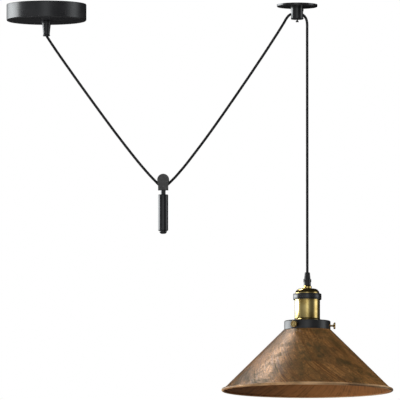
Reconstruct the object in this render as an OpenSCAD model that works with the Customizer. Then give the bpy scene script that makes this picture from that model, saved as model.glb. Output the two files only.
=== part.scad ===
// Rise and fall pendant.
// A cord leaves a round ceiling canopy, hangs under a weighted travelling pulley, climbs to a
// small ceiling pulley and drops to a brass lampholder that carries a wide conical shade.
// Millimetres, +Z up. The origin is the canopy's centre on the ceiling; +X points at the pulley.

/* [Layout under the ceiling] */
// Canopy centre to the ceiling pulley's centre
pulley_x = 401.5; // [340:0.5:480]
// Canopy centre to the travelling pulley's centre
weight_x = 187; // [150:0.5:240]
// Ceiling to the travelling pulley's axle
weight_drop = 284.8; // [200:0.1:400]
// Canopy centre to the lamp's axis
lamp_x = 417.5; // [360:0.5:520]
// Ceiling to the top of the lampholder's cap
lamp_drop_h = 457; // [300:1:700]

/* [Cord] */
// Diameter of the braided cord
cord_d = 4.2; // [3:0.1:5]
// Sides of the cord's tube
cord_sides = 8; // [8:1:12]

/* [Canopy] */
// Diameter of the canopy
canopy_d = 128; // [116:1:180]
// Height of the canopy
canopy_h = 26.5; // [24:0.5:45]
// Sheet thickness of the canopy
canopy_t = 1; // [0.6:0.1:2]
// Outside radius of the canopy's lower edge
canopy_edge_r = 2.4; // [1.2:0.1:5]
// Width of the ceiling strap
strap_w = 20; // [16:1:30]
// Thickness of the ceiling strap
strap_t = 2; // [1.5:0.1:3]
// Distance between the middles of the strap's two slots
slot_pitch = 80; // [76:1:84]
// Length of each slot, end to end
slot_l = 12; // [8:1:16]
// Width of each slot
slot_w = 4.5; // [4:0.1:6]
// Diameter of the side screws that hold the canopy
side_screw_d = 3.5; // [3:0.1:5]

/* [Cord grips] */
// Thread diameter of both grips
grip_thread_d = 10; // [9:0.5:12]
// Collar diameter of the canopy's grip
collar_d = 16; // [14:0.5:20]
// Length of the canopy's grip below the canopy
canopy_grip_l = 24.5; // [16:0.5:32]
// Nose diameter of the canopy's grip
canopy_nose_d = 10.7; // [8:0.1:13]
// Length of the lampholder's grip
lamp_grip_l = 21.4; // [18:0.2:30]
// Foot diameter of the lampholder's grip
lamp_grip_d = 11.4; // [11.2:0.1:15]

/* [Ceiling pulley] */
// Diameter of the ceiling plate
plate_d = 65; // [50:1:90]
// Thickness of the ceiling plate
plate_t = 4; // [3.4:0.1:6]
// Distance between the plate's two screw holes
plate_pitch = 44; // [36:1:46]
// Diameter of the plate's screw holes
plate_hole_d = 4.5; // [4:0.1:5]
// Diameter of the pulley housing
housing_d = 20.5; // [18:0.5:26]
// Ceiling to the underside of the housing
housing_drop = 24; // [23.8:0.1:30]
// Radius of the housing's lower edge
housing_edge_r = 1.5; // [0.5:0.1:2.5]
// Ceiling to the sheave's axle
ceiling_axle_drop = 18.6; // [18.4:0.1:18.8]
// Radius from the ceiling sheave's axle to the cord's middle
ceiling_cord_r = 4.8; // [4.6:0.1:5]
// Radius of the ceiling sheave's flanges
ceiling_flange_r = 4.2; // [3.6:0.1:4.4]
// Diameter of the ceiling sheave's axle
ceiling_axle_d = 2.5; // [2:0.1:3]

/* [Travelling pulley] */
// Diameter of the head's round top
head_d = 19.2; // [18.6:0.1:24]
// Width of the head's straight foot
head_w = 16.4; // [16.2:0.1:18]
// Depth of the head, front to back
head_depth = 16; // [12:0.5:22]
// Axle to the underside of the head
head_foot = 13.5; // [13:0.1:18]
// Height of the round top's centre above the axle
head_rise = 2.3; // [1:0.1:4]
// Radius from the travelling sheave's axle to the cord's middle
travel_cord_r = 8.4; // [8.2:0.1:8.6]
// Radius of the travelling sheave's flanges
travel_flange_r = 7.9; // [7.4:0.1:8]
// Diameter of the travelling sheave's axle
travel_axle_d = 3; // [2.5:0.1:4]
// Wall on each side of a sheave's groove
flange_t = 0.9; // [0.7:0.1:1.4]
// Diameter of the neck
neck_d = 7.8; // [6.5:0.1:10]
// Length of the neck
neck_l = 7.5; // [4:0.5:20]
// Diameter of the weight
weight_d = 16; // [13:0.5:24]
// Length of the weight
weight_l = 58; // [40:1:90]
// Diameter of the weight's end cap
cap_d = 11.6; // [9:0.1:12.5]
// Height of the weight's end cap
cap_h = 4.9; // [3:0.1:8]

/* [Lampholder] */
// Height of the nut under the cord grip
nipple_h = 5; // [3:0.5:8]
// Diameter of the nut under the cord grip
nipple_d = 14; // [12:0.5:18]
// Height of the domed cap
dome_h = 8; // [6:0.5:12]
// Diameter of the domed cap at its foot
dome_d = 39; // [38:0.5:43]
// Diameter of the clamping ring
ring_d = 45.4; // [44:0.2:52]
// Height of the clamping ring
ring_h = 9.7; // [8.4:0.1:14]
// Diameter of the brass body
body_d = 40.6; // [39:0.2:43]
// Height of the brass body
body_h = 33.7; // [28:0.1:45]
// Diameter of the bead at the body's foot
bead_d = 43.8; // [42:0.2:48]
// Diameter of the threaded skirt under the body
skirt_d = 38; // [37:0.2:39]
// Length of the threaded skirt
skirt_l = 13.5; // [10:0.5:18]
// Radius of the lamp cap's socket
socket_r = 13.3; // [13.1:0.1:13.6]
// Depth of the socket
socket_depth = 26; // [20:1:30]
// Sheet thickness of the brass
brass_t = 0.8; // [0.5:0.1:1.2]

/* [Shade and gallery] */
// Outer diameter of the gallery
gallery_d = 74.2; // [70:0.2:90]
// Height of the gallery
gallery_h = 14.2; // [13.5:0.1:20]
// Sheet thickness of the gallery
gallery_t = 1.2; // [0.8:0.1:2]
// Diameter of the shade at its rolled rim
shade_d = 274.8; // [180:0.4:360]
// Slope of the cone: radius gained for each millimetre down
shade_slope = 1.017; // [0.8:0.001:1.4]
// Sheet thickness of the shade
shade_t = 1; // [0.6:0.1:1.6]
// Radius of the rolled rim
rim_r = 2.4; // [1.6:0.1:4]
// Radius of the shade's shoulder
shoulder_r = 3; // [2:0.1:5]
// Height of the shade's neck inside the gallery
shade_neck_h = 10.5; // [9:0.5:11.5]
// Diameter of the thumb screws' shanks
thumb_d = 3; // [2.5:0.1:4]
// Diameter of the thumb screws' heads
thumb_head_d = 10.6; // [8:0.2:14]
// Thickness of the thumb screws' heads
thumb_head_t = 3.2; // [2:0.1:5]
// Bare shank between the gallery and a thumb screw's head
thumb_reach = 4.7; // [4:0.1:10]

/* [Hidden] */

$fn = 96;
eps = 0.1;          // overshoot of a cut past the face it opens
slip = 0.02;        // radial clearance of a fixed fit
run = 0.05;         // radial clearance of a turning fit
gap = 0.3;          // clearance between faces that move past each other

cord_r = cord_d / 2;
groove_r = cord_r + gap;
sheave_w = 2 * (groove_r + flange_t);
slot_y = sheave_w + 2 * gap;
grip_bore_r = cord_r + 0.2;

black = [0.06, 0.06, 0.065];
satin_black = [0.1, 0.1, 0.105];
matt_grey = [0.22, 0.22, 0.22];
brass = [0.72, 0.58, 0.3];
steel = [0.62, 0.63, 0.65];
copper = [0.44, 0.3, 0.19];
cream = [0.88, 0.85, 0.78];

// The cord's middle from the terminal block to the lampholder, as [x, z] at y = 0
route = [
    [-16, -9], [-12, -9], [-8.4, -10], [-5.2, -12.1], [-2.6, -15], [-0.8, -18.6], [0, -22.8],
    [0, -29], [0, -36], [0, -44],
    [0, -48], [1, -51.8], [3.4, -55.6], [11.5, -68], [20, -80.5], [28.7, -93], [37.5, -105.5],
    [46.3, -118], [55.2, -130.5], [64.2, -143], [73.2, -155.5], [82.3, -168], [91.4, -180.5],
    [100.6, -193], [109.9, -205.5], [119.4, -218], [129, -230.5], [138.8, -243],
    [148.9, -255.5], [158.6, -266.9], [168.1, -277.5], [172.7, -282.3],
    [177, -286.7],
    [180.8, -290.4], [182.5, -291.9], [184.7, -292.9], [187, -293.2], [189.3, -292.9],
    [191.5, -291.9], [193.2, -290.4],
    [197.2, -286.7],
    [201.6, -282.3], [205.9, -277.9], [214.4, -268.2], [223.7, -257], [233.3, -244.5],
    [242.8, -232], [252.1, -219.5], [261.2, -207], [270.1, -194.5], [278.9, -182],
    [287.6, -169.5], [296.2, -157], [304.8, -144.5], [313.3, -132], [321.8, -119.5],
    [330.2, -107], [338.5, -94.5], [346.8, -82], [355, -69.5], [363, -57], [371, -44.5],
    [376.7, -35.3], [380.5, -29.1], [384.4, -22.3], [388.2, -17.8], [392.4, -15.2],
    [396.9, -14.1], [401.5, -13.8], [406, -14.4], [410, -16.2], [413.3, -19],
    [415.7, -22.7], [417, -27.2], [417.5, -32],
    [417.5, -38], [417.5, -90], [417.5, -160], [417.5, -230], [417.5, -300], [417.5, -370],
    [417.5, -424], [417.5, -436],
    [417.5, -441], [417.5, -449], [417.5, -459]
];
// Where one stretch ends and the next begins, as places in the list
tail_end = 9;
bight_start = 32;
bight_end = 40;
arc_end = 74;
drop_end = 82;
route_end = len(route) - 1;

// Canopy
canopy_r = canopy_d / 2;
ear_t = strap_t;
ear_l = 16;
ear_x = sqrt(pow(canopy_r - canopy_t - gap, 2) - pow(strap_w / 2, 2));
side_screw_z = -13;
side_screw_l = 8;
wire_hole_r = 6;
block_w = 17;
block_l = 25;
block_t = 7;
block_x = -24.5;
pole_pitch = 8;
pole_x = 4.2;
pole_r = 3.7;
pole_t = 12;
pole_screw_r = 1.7;
wire_r = 1.8;
earth_x = 20;
earth_screw_r = 2;
locknut_h = 3;
lip = 0.5;
locknut_af = 14;

// Ceiling pulley
plate_r = plate_d / 2;
plate_edge_r = 1.2;
housing_r = housing_d / 2;
ceiling_axle_r = ceiling_axle_d / 2;
window_top = ceiling_axle_drop - 7.8;
window_foot = ceiling_axle_drop + 2.6;
cheek_skin = 1.6;
centre_screw_r = 2;
centre_screw_l = 8.6;
countersink = 2.2;
lock_screw_r = 1.4;
lock_head_r = 2.7;
lock_head_h = 1.8;
lock_stand = 3.2;
lock_y = -6.6;

// Travelling pulley
head_r = head_d / 2;
travel_axle_r = travel_axle_d / 2;
slot_top = travel_flange_r + 4 * gap;
slot_foot = travel_cord_r + cord_r + gap;
head_skin = 1.4;
stud_r = 2.5;
stud_up = head_foot - slot_foot - gap;
stud_down = 10;
cap_spigot = 7;
cap_round = min(cap_h - 1.3, cap_d / 2 - 1);
weight_edge = 1;

// Lampholder, heights counted down from the top of its cap
lamp_z = -lamp_drop_h;
tube_r = grip_thread_d / 2 - 0.1;
tube_bore_r = grip_bore_r;
tube_down = 6;
spigot_r = 18.15;
spigot_l = 4.9;
flange_h = 2;
body_top = dome_h + ring_h;
body_foot = body_top + body_h;
insert_top = dome_h + spigot_l;
insert_r = spigot_r - brass_t - 0.4;
skirt_r = skirt_d / 2;
skirt_foot = body_foot + skirt_l;
insert_foot = skirt_foot - 1;
shell_t = 0.7;
shell_mouth_r = 9;
contact_recess = 3.8;
socket_top = insert_foot - socket_depth;
ring_edge = 1;
side_screw_rise = 13;
grip_boss_r = 2.7;
grip_boss_x = 5.6;
grip_top_r = 4.2;
grip_screw_r = 1.5;
tube_up = side_screw_rise - grip_screw_r - gap;
grip_screw_head_r = 2.2;
insert_screw_x = 9;
insert_screw_r = 1.5;

// Gallery and shade, heights counted down from the top of the cap
gallery_r = gallery_d / 2;
gallery_top = body_foot + 0.1;
gallery_foot = gallery_top + gallery_h;
gallery_inner = gallery_r - gallery_t;
ring_nut_r = 26;
ring_nut_h = 4.5;
shade_neck_r = gallery_inner - 2.9;
shade_lip = 1.5;
shoulder_top = gallery_foot;
shade_angle = atan(shade_slope);
shoulder_x = gallery_r - 0.7;
cone_start = [shoulder_x + shoulder_r * cos(shade_angle), shoulder_top + shoulder_r * (1 - sin(shade_angle))];
rim_x = shade_d / 2 - rim_r;
rim_z = cone_start[1] + (rim_x - 0.3 - cone_start[0]) / shade_slope + 1;
thumb_z = gallery_top + 7.9;
thumb_tip = shade_neck_r + 0.2;

// Points along an arc about c, from angle a to angle b
function arc(c, r, a, b, n = 8) = [for (i = [0:n]) c + r * [cos(a + (b - a) * i / n), sin(a + (b - a) * i / n)]];

// The way the cord runs at one of its points
function heading(i) = let (d = route[min(i + 1, route_end)] - route[max(i - 1, 0)]) d / norm(d);

// One ring of a cord's tube, square to the way that the cord runs there
function ring(i) = let (t = heading(i)) [
    for (k = [0:cord_sides - 1]) let (a = 360 * (k + 0.5) / cord_sides) [
        route[i][0] - t[1] * cord_r * cos(a),
        cord_r * sin(a),
        route[i][1] + t[0] * cord_r * cos(a)
    ]
];

// A stretch of the cord, from one place in the route to another
module cord(first, last) {
    s = cord_sides;
    n = last - first;
    points = [for (i = [first:last]) each ring(i)];
    sides = [for (i = [0:n - 1], k = [0:s - 1]) each [
        [i * s + k, i * s + (k + 1) % s, (i + 1) * s + (k + 1) % s],
        [i * s + k, (i + 1) * s + (k + 1) % s, (i + 1) * s + k]
    ]];
    ends = [[for (k = [0:s - 1]) s - 1 - k], [for (k = [0:s - 1]) n * s + k]];
    color(black) polyhedron(points, concat(sides, ends));
}

// A turned shape from its half profile, as [radius, height]
module lathe(points) {
    rotate_extrude() polygon(points);
}

// A cylinder along Y, from one place to another
module along_y(r, from, to) {
    translate([0, from, 0]) rotate([-90, 0, 0]) cylinder(r = r, h = to - from);
}

// A cylinder along X, from one place to another
module along_x(r, from, to) {
    translate([from, 0, 0]) rotate([0, 90, 0]) cylinder(r = r, h = to - from);
}

module at_pulley() {
    translate([pulley_x, 0, 0]) children();
}

module at_weight() {
    translate([weight_x, 0, -weight_drop]) children();
}

module at_lamp() {
    translate([lamp_x, 0, lamp_z]) children();
}

// ---- Canopy ----

module strap_slot(x) {
    half = (slot_l - slot_w) / 2;
    translate([x, 0, -strap_t - eps]) {
        translate([-half, 0, 0]) cylinder(d = slot_w, h = strap_t + 2 * eps);
        translate([half, 0, 0]) cylinder(d = slot_w, h = strap_t + 2 * eps);
        translate([-half, -slot_w / 2, 0]) cube([2 * half, slot_w, strap_t + 2 * eps]);
    }
}

module strap_ear() {
    ear_r = 4;
    difference() {
        union() {
            translate([ear_x - ear_t, -strap_w / 2, -ear_l + ear_r]) cube([ear_t, strap_w, ear_l - ear_r]);
            translate([ear_x - ear_t, -strap_w / 2 + ear_r, -ear_l]) cube([ear_t, strap_w - 2 * ear_r, ear_r]);
            for (y = [-1, 1])
                translate([0, y * (strap_w / 2 - ear_r), -ear_l + ear_r]) along_x(ear_r, ear_x - ear_t, ear_x);
        }
        translate([0, 0, side_screw_z]) along_x(side_screw_d / 2 + slip, ear_x - ear_t - eps, ear_x + eps);
    }
}

module canopy_bracket() color(steel) difference() {
    union() {
        translate([-ear_x, -strap_w / 2, -strap_t]) cube([2 * ear_x, strap_w, strap_t]);
        for (turn = [0, 180]) rotate(turn) strap_ear();
    }
    strap_slot(-slot_pitch / 2);
    strap_slot(slot_pitch / 2);
    translate([0, 0, -strap_t - eps]) cylinder(r = wire_hole_r, h = strap_t + 2 * eps);
    translate([earth_x, 0, -strap_t - eps]) cylinder(r = earth_screw_r + slip, h = strap_t + 2 * eps);
}

// A pressed steel cup, open to the ceiling, with a hole for the grip and two for its side screws
module canopy_cup() color(satin_black) difference() {
    inner_r = canopy_edge_r - canopy_t / 2;
    lathe(concat(
        [[grip_thread_d / 2 + slip, -canopy_h]],
        arc([canopy_r - canopy_edge_r, -canopy_h + canopy_edge_r], canopy_edge_r, -90, 0),
        [[canopy_r, 0], [canopy_r - canopy_t, 0]],
        arc([canopy_r - canopy_t - inner_r, -canopy_h + canopy_t + inner_r], inner_r, 0, -90),
        [[grip_thread_d / 2 + slip, -canopy_h + canopy_t]]
    ));
    translate([0, 0, side_screw_z]) along_x(side_screw_d / 2 + run, -canopy_r - eps, canopy_r + eps);
}

// Headless screws that end flush with the canopy's side
module canopy_screws() color(black) for (turn = [0, 180]) rotate(turn) translate([0, 0, side_screw_z])
    difference() {
        along_x(side_screw_d / 2, canopy_r - side_screw_l, canopy_r - 0.2);
        translate([canopy_r - 1.1, -side_screw_d, -0.35]) cube([2, 2 * side_screw_d, 0.7]);
    }

// The connector: three poles, each a hump with two screws over a wire hole
module terminal_block() color(cream) translate([block_x, 0, -strap_t]) difference() {
    union() {
        translate([-block_w / 2, -block_l / 2, -block_t]) cube([block_w, block_l, block_t]);
        for (pole = [-1:1], side = [-1, 1])
            translate([side * pole_x, pole * pole_pitch, -pole_t]) cylinder(r = pole_r, h = pole_t);
    }
    for (pole = [-1:1], side = [-1, 1])
        translate([side * pole_x, pole * pole_pitch, -pole_t - eps]) cylinder(r = pole_screw_r + slip, h = 6);
    for (pole = [-1:1])
        translate([0, pole * pole_pitch, -block_t / 2]) along_x(wire_r, -block_w, block_w);
}

module terminal_screws() color(steel) translate([block_x, 0, -strap_t])
    for (pole = [-1:1], side = [-1, 1]) translate([side * pole_x, pole * pole_pitch, -pole_t + 1.5])
        difference() {
            cylinder(r = pole_screw_r, h = 4);
            translate([-2, -0.3, -eps]) cube([4, 0.6, 0.8]);
        }

module earth_screw() color(brass) translate([earth_x, 0, 0]) difference() {
    lathe([
        [0, -strap_t + 0.2], [earth_screw_r, -strap_t + 0.2], [earth_screw_r, -strap_t],
        [4.2, -strap_t], [4.2, -strap_t - 0.8], [3.6, -strap_t - 0.8], [3.6, -strap_t - 2.6],
        [2.8, -strap_t - 3.2], [0, -strap_t - 3.2]
    ]);
    translate([-4, -0.4, -strap_t - 3.3]) cube([8, 0.8, 1.3]);
}

// A conical grip: its threaded stub passes up through the canopy to a locknut
module canopy_cord_grip() color(black) lathe(concat(
    [
        [grip_bore_r, -canopy_h + canopy_t + locknut_h + 1],
        [tube_r, -canopy_h + canopy_t + locknut_h + 1], [tube_r, -canopy_h],
        [collar_d / 2 - 0.6, -canopy_h], [collar_d / 2, -canopy_h - 0.6],
        [collar_d / 2, -canopy_h - 2.6], [collar_d / 2 - 0.5, -canopy_h - 3.2],
        [canopy_nose_d / 2 - lip, -canopy_h - canopy_grip_l + 2.8],
        [canopy_nose_d / 2, -canopy_h - canopy_grip_l + 1.8]
    ],
    arc([canopy_nose_d / 2 - 1, -canopy_h - canopy_grip_l + 1], 1, 0, -90, 4),
    [[grip_bore_r + 1.6, -canopy_h - canopy_grip_l], [grip_bore_r, -canopy_h - canopy_grip_l + 6]]
));

module grip_locknut() color(steel) translate([0, 0, -canopy_h + canopy_t]) difference() {
    cylinder(r = locknut_af / 2 / cos(30), h = locknut_h, $fn = 6);
    translate([0, 0, -eps]) cylinder(r = grip_thread_d / 2, h = locknut_h + 2 * eps);
}

module cord_tail() cord(0, tail_end);

module canopy_span() cord(tail_end, bight_start);

// ---- Ceiling pulley ----

// The ceiling plate, drilled for two countersunk screws and for the housing's own screw
module pulley_plate() color(black) at_pulley() difference() {
    lathe(concat(
        [[0, 0], [plate_r, 0]],
        arc([plate_r - plate_edge_r, -plate_t + plate_edge_r], plate_edge_r, 0, -90, 6),
        [[0, -plate_t]]
    ));
    for (side = [-1, 1]) translate([0, side * plate_pitch / 2, 0]) {
        translate([0, 0, -plate_t - eps]) cylinder(d = plate_hole_d, h = plate_t + 2 * eps);
        translate([0, 0, -plate_t - eps])
            cylinder(r1 = plate_hole_d / 2 + countersink + eps, r2 = plate_hole_d / 2, h = countersink + eps);
    }
    translate([0, 0, -plate_t - eps]) cylinder(r = centre_screw_r + slip, h = plate_t + 2 * eps);
    translate([0, 0, -countersink])
        cylinder(r1 = centre_screw_r + slip, r2 = centre_screw_r + countersink + eps + slip, h = countersink + eps);
}

module plate_screw() color(steel) at_pulley() difference() {
    lathe([
        [0, -0.3], [centre_screw_r + countersink - 0.3, -0.3], [centre_screw_r, -countersink],
        [centre_screw_r, -centre_screw_l], [0, -centre_screw_l - 0.6]
    ]);
    for (turn = [0, 90]) rotate(turn) translate([-2, -0.35, -1.5]) cube([4, 0.7, 2]);
}

// The housing: a turned post with a window across it for the sheave and the cord
module pulley_housing() color(black) at_pulley() difference() {
    lathe(concat(
        [[0, -plate_t], [housing_r, -plate_t]],
        arc([housing_r - housing_edge_r, -housing_drop + housing_edge_r], housing_edge_r, 0, -90, 6),
        [[0, -housing_drop]]
    ));
    translate([0, 0, -plate_t - 6]) cylinder(r = centre_screw_r + slip, h = 6 + eps);
    translate([-housing_d, -slot_y / 2, -window_foot]) cube([2 * housing_d, slot_y, window_foot - window_top]);
    translate([0, 0, -ceiling_axle_drop]) {
        along_y(ceiling_flange_r + gap, -slot_y / 2, slot_y / 2);
        along_y(ceiling_axle_r + slip, -housing_r + cheek_skin, housing_r + eps);
    }
    translate([0, lock_y, -housing_drop - eps])
        cylinder(r = lock_screw_r + slip, h = housing_drop - ceiling_axle_drop + eps);
}

module ceiling_axle() color(steel) at_pulley() translate([0, 0, -ceiling_axle_drop])
    along_y(ceiling_axle_r, -housing_r + cheek_skin + 0.1, housing_r - 0.8);

// Countersunk screw, left standing below the housing; its tip jams the axle
module axle_lock_screw() color(black) at_pulley() translate([0, lock_y, 0]) {
    head_z = housing_drop + lock_stand;
    difference() {
        lathe([
            [0, -ceiling_axle_drop - ceiling_axle_r - slip], [lock_screw_r, -ceiling_axle_drop - ceiling_axle_r - slip],
            [lock_screw_r, -head_z], [lock_head_r, -head_z - lock_head_h + 0.4],
            [lock_head_r, -head_z - lock_head_h], [0, -head_z - lock_head_h]
        ]);
        translate([-3, -0.35, -head_z - lock_head_h - eps]) cube([6, 0.7, 0.7 + eps]);
    }
}

// A grooved wheel that lies along Y, with a round groove for the cord
module sheave(axle_r, flange_r, path_r) {
    half = sheave_w / 2;
    open = asin((path_r - flange_r) / groove_r);
    rotate([-90, 0, 0]) lathe(concat(
        [[axle_r + run, -half], [flange_r - 0.2, -half], [flange_r, -half + 0.2]],
        arc([path_r, 0], groove_r, 180 + 90 - open, 90 + open, 14),
        [[flange_r, half - 0.2], [flange_r - 0.2, half], [axle_r + run, half]]
    ));
}

module ceiling_sheave() color(steel) at_pulley() translate([0, 0, -ceiling_axle_drop])
    sheave(ceiling_axle_r, ceiling_flange_r, ceiling_cord_r);

module pulley_span() cord(bight_end, arc_end);

module lamp_drop() cord(arc_end, drop_end);

// ---- Travelling pulley and its weight ----

// The head's outline: a round top that stands a little wider than its straight foot
module head_outline() {
    translate([0, head_rise]) circle(r = head_r);
    translate([-head_w / 2, -head_foot]) square([head_w, head_foot + head_rise]);
}

module pulley_head() color(matt_grey) at_weight() difference() {
    translate([0, head_depth / 2, 0]) rotate([90, 0, 0]) linear_extrude(head_depth) head_outline();
    translate([-head_d, -slot_y / 2, -slot_foot]) cube([2 * head_d, slot_y, slot_foot + slot_top - 3]);
    along_y(slot_top, -slot_y / 2, slot_y / 2);
    along_y(travel_axle_r + slip, -head_depth / 2 + head_skin, head_depth / 2 + eps);
    translate([0, 0, -head_foot - eps]) cylinder(r = stud_r + slip, h = stud_up + gap + eps);
}

module travelling_axle() color(steel) at_weight()
    along_y(travel_axle_r, -head_depth / 2 + head_skin + 0.1, head_depth / 2 - 0.5);

module travelling_sheave() color(steel) at_weight()
    sheave(travel_axle_r, travel_flange_r, travel_cord_r);

module cord_bight() cord(bight_start, bight_end);

module neck_stud() color(black) at_weight() translate([0, 0, -head_foot]) lathe([
    [0, stud_up], [stud_r - 0.3, stud_up], [stud_r, stud_up - 0.3], [stud_r, 0], [neck_d / 2, 0],
    [neck_d / 2, -neck_l], [stud_r, -neck_l], [stud_r, -neck_l - stud_down + 0.4],
    [stud_r - 0.4, -neck_l - stud_down], [0, -neck_l - stud_down]
]);

module counterweight() color(black) at_weight() translate([0, 0, -head_foot - neck_l]) lathe(concat(
    [[0, -stud_down - gap], [stud_r + slip, -stud_down - gap], [stud_r + slip, 0]],
    arc([weight_d / 2 - 0.8, -0.8], 0.8, 90, 0, 4),
    arc([weight_d / 2 - weight_edge, -weight_l + weight_edge], weight_edge, 0, -90, 4),
    [[stud_r + slip, -weight_l], [stud_r + slip, -weight_l + cap_spigot + gap], [0, -weight_l + cap_spigot + gap]]
));

module weight_cap() color(black) at_weight() translate([0, 0, -head_foot - neck_l - weight_l]) lathe(concat(
    [[0, cap_spigot], [stud_r, cap_spigot], [stud_r, 0], [cap_d / 2 - 0.4, 0], [cap_d / 2, -0.4]],
    arc([cap_d / 2 - cap_round, -cap_h + cap_round], cap_round, 0, -90, 8),
    [[0, -cap_h]]
));

// ---- Lampholder ----

// A plastic grip that widens downwards, with a boss across it for its screw
module lamp_cord_grip() color(black) at_lamp() translate([0, 0, nipple_h]) difference() {
    union() {
        lathe(concat(
            [[0, 0], [lamp_grip_d / 2 - 0.3, 0], [lamp_grip_d / 2, 0.3], [lamp_grip_d / 2, 5.5]],
            [[tube_r + 0.6, 6.5], [tube_r + 0.6, 8], [tube_r, lamp_grip_l - 8]],
            arc([grip_top_r - 1.2, lamp_grip_l - 1.2], 1.2, 0, 90, 4),
            [[0, lamp_grip_l]]
        ));
        translate([0, 0, side_screw_rise - nipple_h]) along_x(grip_boss_r, -grip_boss_x - 0.5, grip_boss_x);
    }
    translate([0, 0, -eps]) cylinder(r = tube_r + slip, h = tube_up - nipple_h + gap + eps);
    translate([0, 0, -eps]) cylinder(r = grip_bore_r, h = lamp_grip_l + 1);
    translate([0, 0, lamp_grip_l - 3]) cylinder(r1 = grip_bore_r, r2 = grip_bore_r + 1.1, h = 3 + eps);
    translate([0, 0, side_screw_rise - nipple_h]) along_x(grip_screw_r + slip, 0, 7);
}

module grip_side_screw() color(black) at_lamp() translate([0, 0, side_screw_rise]) difference() {
    union() {
        along_x(grip_screw_r, cord_r + 0.1, grip_boss_x + 0.1);
        along_x(grip_screw_head_r, grip_boss_x + slip, grip_boss_x + 0.8);
    }
    translate([grip_boss_x + 0.4, -3, -0.3]) cube([2, 6, 0.6]);
}

// A turned brass nut on a hollow threaded tube that runs from the cap up into the grip
module entry_nipple() color(brass) at_lamp() lathe([
    [tube_bore_r, -tube_down], [tube_r, -tube_down], [tube_r, 0], [nipple_d / 2 - 0.6, 0],
    [nipple_d / 2, 0.6], [nipple_d / 2, nipple_h - 1], [nipple_d / 2 - 1, nipple_h],
    [tube_r, nipple_h], [tube_r, tube_up], [tube_bore_r, tube_up]
]);

module nipple_locknut() color(steel) at_lamp() translate([0, 0, -brass_t - 2.5]) difference() {
    cylinder(r = 6.5 / cos(30), h = 2.5, $fn = 6);
    translate([0, 0, -eps]) cylinder(r = tube_r + slip, h = 3);
}

module cord_end() cord(drop_end, route_end);

// A spun brass cap whose spigot sits inside the clamping ring
module holder_dome() color(brass) at_lamp() {
    shoulder = dome_h;
    inner = shoulder - brass_t;
    centre = dome_d / 2 - shoulder;
    wall = spigot_r - brass_t;
    lathe(concat(
        [[tube_r + slip, 0]],
        arc([centre, -dome_h], shoulder, 90, 0, 12),
        [[spigot_r, -dome_h], [spigot_r, -insert_top], [wall, -insert_top]],
        arc([centre, -dome_h], inner, acos((wall - centre) / inner), 90, 8),
        [[tube_r + slip, -brass_t]]
    ));
}

module clamp_ring() color(black) at_lamp() translate([0, 0, -dome_h]) lathe(concat(
    [[spigot_r + slip, 0]],
    arc([ring_d / 2 - ring_edge, -ring_edge], ring_edge, 90, 0, 4),
    arc([ring_d / 2 - ring_edge, -ring_h + ring_edge], ring_edge, 0, -90, 4),
    [[spigot_r + slip, -ring_h]]
));

// The brass body: spigot above, bead at the foot, threaded skirt below
module holder_body() color(brass) at_lamp() {
    wall = spigot_r - brass_t;
    top = insert_top + flange_h;
    body_r = body_d / 2;
    inner_r = body_r - brass_t;
    bead_r = 1.2;
    lathe(concat(
        [[wall, -top], [spigot_r, -top], [spigot_r, -body_top], [body_r, -body_top]],
        [[body_r, -body_foot + 3.6], [body_r + 0.4, -body_foot + 2.8]],
        arc([bead_d / 2 - bead_r, -body_foot + bead_r], bead_r, 60, -90, 6),
        [[skirt_r, -body_foot], [skirt_r, -skirt_foot], [skirt_r - 1, -skirt_foot]],
        [[skirt_r - 1, -body_foot + 1], [inner_r, -body_foot + 2], [inner_r, -body_top - brass_t]],
        [[wall, -body_top - brass_t]]
    ));
}

// The ceramic insert: a flange pinched inside the ring, and a bore for the screw shell
module socket_insert() color(cream) at_lamp() difference() {
    union() {
        translate([0, 0, -insert_top - flange_h]) cylinder(r = spigot_r - 0.1, h = flange_h);
        translate([0, 0, -insert_foot]) cylinder(r = insert_r, h = insert_foot - insert_top - 1);
        translate([-1.5, -13, -insert_top]) cube([3, 26, 4]);
    }
    translate([0, 0, -insert_foot - eps]) cylinder(r = socket_r + shell_t + slip, h = socket_depth + shell_t + eps);
    translate([0, 0, -socket_top]) cylinder(r = shell_mouth_r, h = shell_t + contact_recess);
    for (side = [-1, 1]) translate([side * insert_screw_x, 0, -insert_top - 5])
        cylinder(r = insert_screw_r + slip, h = 6);
}

module screw_shell() color(brass) at_lamp() lathe([
    [socket_r, -insert_foot + 1], [socket_r + shell_t, -insert_foot + 1], [socket_r + shell_t, -socket_top + shell_t],
    [shell_mouth_r, -socket_top + shell_t], [shell_mouth_r, -socket_top], [socket_r, -socket_top]
]);

// A folded brass tongue in a recess behind the shell's open end
module centre_contact() color(brass) at_lamp() translate([0, 3, -socket_top + shell_t + contact_recess])
    rotate([90, 0, 0]) linear_extrude(6) polygon([
        [-7, 0], [7, 0], [7, -0.6], [-4.6, -0.6], [-3, -2.6], [2, -3.6], [6.5, -2.8],
        [6.5, -3.4], [2, -4.2], [-3.3, -3.2], [-5.6, -0.6], [-7, -0.6]
    ]);

module socket_screws() color(brass) at_lamp() for (side = [-1, 1]) translate([side * insert_screw_x, 0, -insert_top])
    difference() {
        lathe([
            [0, -4.5], [insert_screw_r, -4.5], [insert_screw_r, 0], [3.2, 0], [3.2, 1.6], [2.6, 2.2], [0, 2.2]
        ]);
        translate([-4, -0.3, 1.4]) cube([8, 0.6, 1]);
    }

// ---- Gallery and shade ----

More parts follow.
